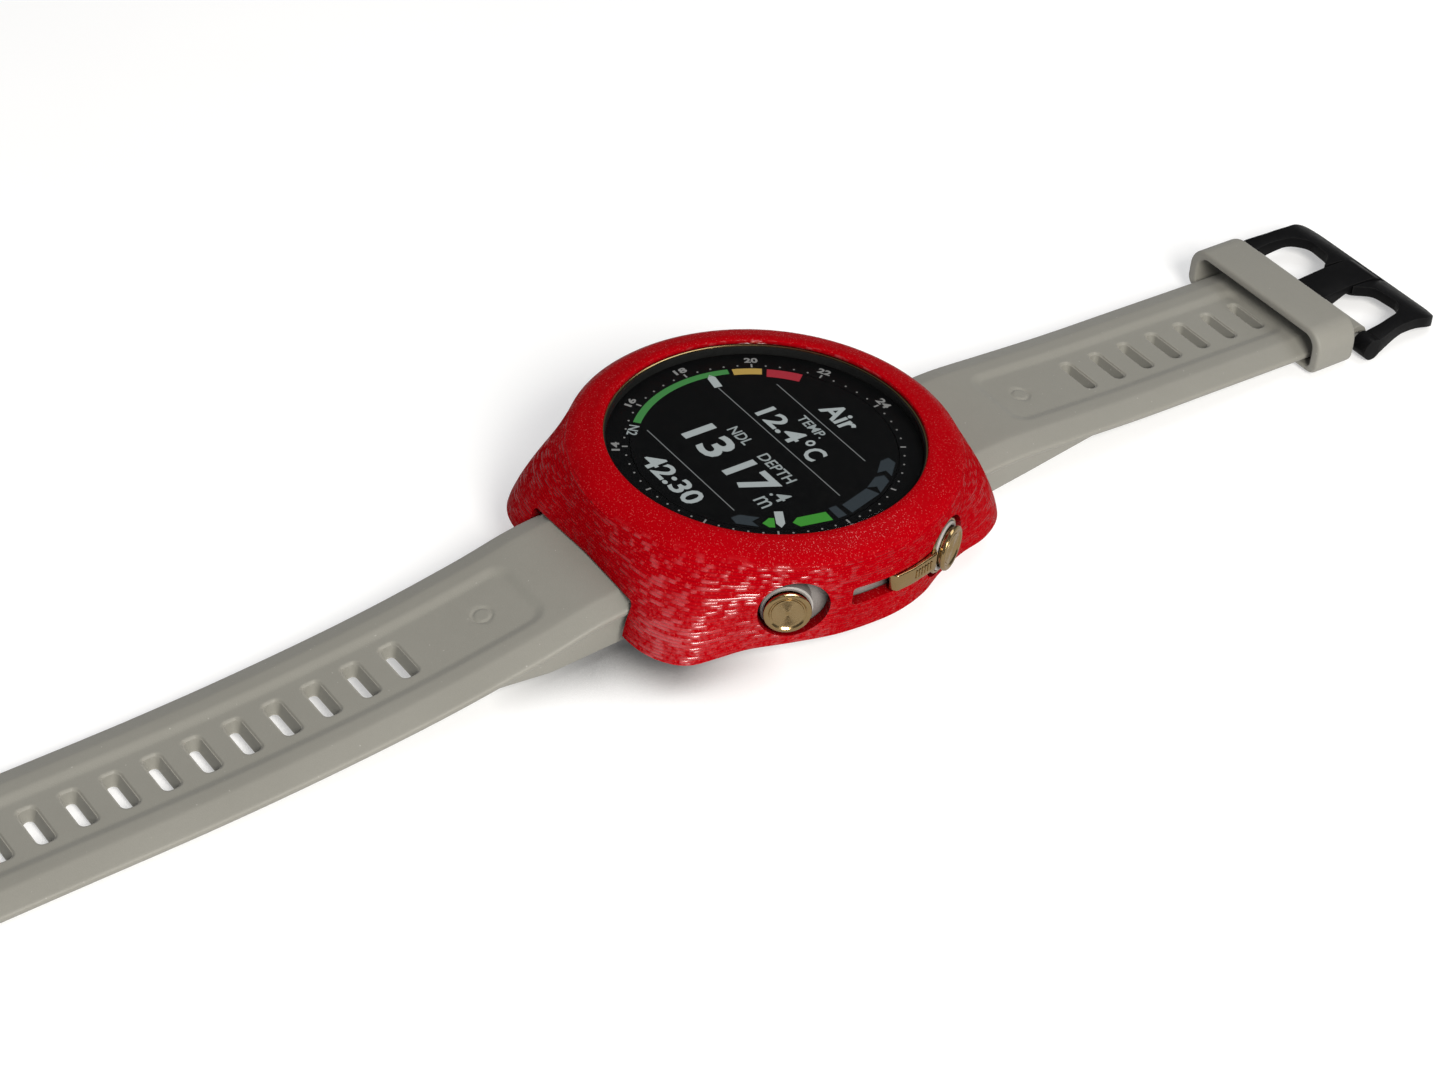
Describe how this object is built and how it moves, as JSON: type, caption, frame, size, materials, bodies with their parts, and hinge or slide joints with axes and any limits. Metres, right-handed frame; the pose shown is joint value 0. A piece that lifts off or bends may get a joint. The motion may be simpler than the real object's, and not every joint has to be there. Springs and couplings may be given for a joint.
{
  "type": "dive computer",
  "caption": "Wrist dive computer with a round display, side buttons, a printed protective cover and a two-part silicone strap with keeper and tang buckle.",
  "frame": {"origin": "centre of the flat sensor window on the case back, where it meets the wrist", "axes": "+Z points out of the display along the watch axis, +Y points to 12 o'clock (the buckle half of the strap), +X points to 3 o'clock"},
  "size_m": [0.0475, 0.2214, 0.02],
  "materials": {
    "red_print": "layered print, glossy",
    "grey_polymer": "fine moulded matte",
    "silicone": "soft matte",
    "gold_metal": "bronze-gold coating, turned faces",
    "steel": "brushed",
    "black_metal": "satin black coating",
    "lens_glass": "polished",
    "screen": "gloss black",
    "black_rubber": "matte",
    "circuit_board": "solder mask",
    "black_plastic": "matte",
    "foil": "foil",
    "copper": "bare",
    "amber_film": "film"
  },
  "bodies": {
    "watch": {"case_housing": "grey_polymer", "bezel": "gold_metal", "lens": "lens_glass", "lens_gasket": "black_rubber", "chapter_ring": "screen", "display_panel": "screen", "display_bracket": "black_plastic", "display_flex": "amber_film", "main_board": "circuit_board", "board_shield": "foil", "battery": "foil", "vibration_motor_base": "steel", "vibration_motor_can": "steel", "pressure_sensor": "steel", "sensor_guard": "gold_metal", "rear_cover": "steel", "rear_gasket": "black_rubber", "optical_window": "lens_glass", "optical_board": "circuit_board", "contact_block": "black_plastic", "rear_screw_1": "steel", "rear_screw_2": "steel", "rear_screw_3": "steel", "rear_screw_4": "steel", "contact_pin_1": "gold_metal", "contact_pin_2": "gold_metal", "contact_pin_3": "gold_metal", "contact_pin_4": "gold_metal", "button_spring_start": "steel", "button_seal_start": "black_rubber", "button_spring_back": "steel", "button_seal_back": "black_rubber", "button_spring_light": "steel", "button_seal_light": "black_rubber", "button_spring_up": "steel", "button_seal_up": "black_rubber", "button_spring_down": "steel", "button_seal_down": "black_rubber", "protective_cover": "red_print", "spring_bar_12": "steel", "spring_bar_6": "steel"},
    "button_start": {"button_start": "gold_metal"},
    "button_back": {"button_back": "gold_metal"},
    "button_light": {"button_light": "gold_metal"},
    "button_up": {"button_up": "gold_metal"},
    "button_down": {"button_down": "gold_metal"},
    "strap_long": {"strap_long": "silicone"},
    "strap_short": {"strap_short": "silicone", "buckle_pin": "steel"},
    "strap_latch_6": {"strap_latch_6": "black_plastic"},
    "strap_latch_12": {"strap_latch_12": "black_plastic"},
    "strap_keeper": {"strap_keeper": "silicone"},
    "buckle_frame": {"buckle_frame": "black_metal"},
    "buckle_tongue": {"buckle_tongue": "black_metal"},
    "vibration_motor_rotor": {"vibration_motor_rotor": "copper"}
  },
  "joints": [
    {"name": "press_start", "type": "slide", "parent": "watch", "child": "button_start", "axis": [-0.878, -0.4787, 0], "range_m": [0, 0.00035], "stiffness_N_per_m": 2500},
    {"name": "press_back", "type": "slide", "parent": "watch", "child": "button_back", "axis": [-0.878, 0.4787, 0], "range_m": [0, 0.00035], "stiffness_N_per_m": 2500},
    {"name": "press_light", "type": "slide", "parent": "watch", "child": "button_light", "axis": [0.878, -0.4787, 0], "range_m": [0, 0.00035], "stiffness_N_per_m": 2500},
    {"name": "press_up", "type": "slide", "parent": "watch", "child": "button_up", "axis": [1, 0, 0], "range_m": [0, 0.00035], "stiffness_N_per_m": 2500},
    {"name": "press_down", "type": "slide", "parent": "watch", "child": "button_down", "axis": [0.878, 0.4787, 0], "range_m": [0, 0.00035], "stiffness_N_per_m": 2500},
    {"name": "turn_strap_short", "type": "hinge", "parent": "watch", "child": "strap_short", "pos_m": [0, 0.0223, 0.0039], "axis": [1, 0, 0], "range_deg": [-70, 2]},
    {"name": "turn_strap_long", "type": "hinge", "parent": "watch", "child": "strap_long", "pos_m": [0, -0.0223, 0.0039], "axis": [-1, 0, 0], "range_deg": [-70, 4]},
    {"name": "slide_latch_12", "type": "slide", "parent": "strap_short", "child": "strap_latch_12", "axis": [0, 0.9877, 0.1564], "range_m": [0, 0.0014]},
    {"name": "slide_latch_6", "type": "slide", "parent": "strap_long", "child": "strap_latch_6", "axis": [0, -0.9976, -0.0698], "range_m": [0, 0.0014]},
    {"name": "slide_keeper", "type": "slide", "parent": "strap_short", "child": "strap_keeper", "axis": [0, -0.9999, 0.0157], "range_m": [0, 0.022]},
    {"name": "turn_buckle", "type": "hinge", "parent": "strap_short", "child": "buckle_frame", "pos_m": [0, 0.0855, 0.0046], "axis": [1, 0, 0], "range_deg": [-60, 40]},
    {"name": "turn_tongue", "type": "hinge", "parent": "buckle_frame", "child": "buckle_tongue", "pos_m": [0, 0.0855, 0.0046], "axis": [1, 0, 0], "range_deg": [0, 60]},
    {"name": "spin_motor_rotor", "type": "hinge", "parent": "watch", "child": "vibration_motor_rotor", "pos_m": [0.0112, -0.0045, 0.0058], "axis": [0, 0, 1], "continuous": true}
  ]
}
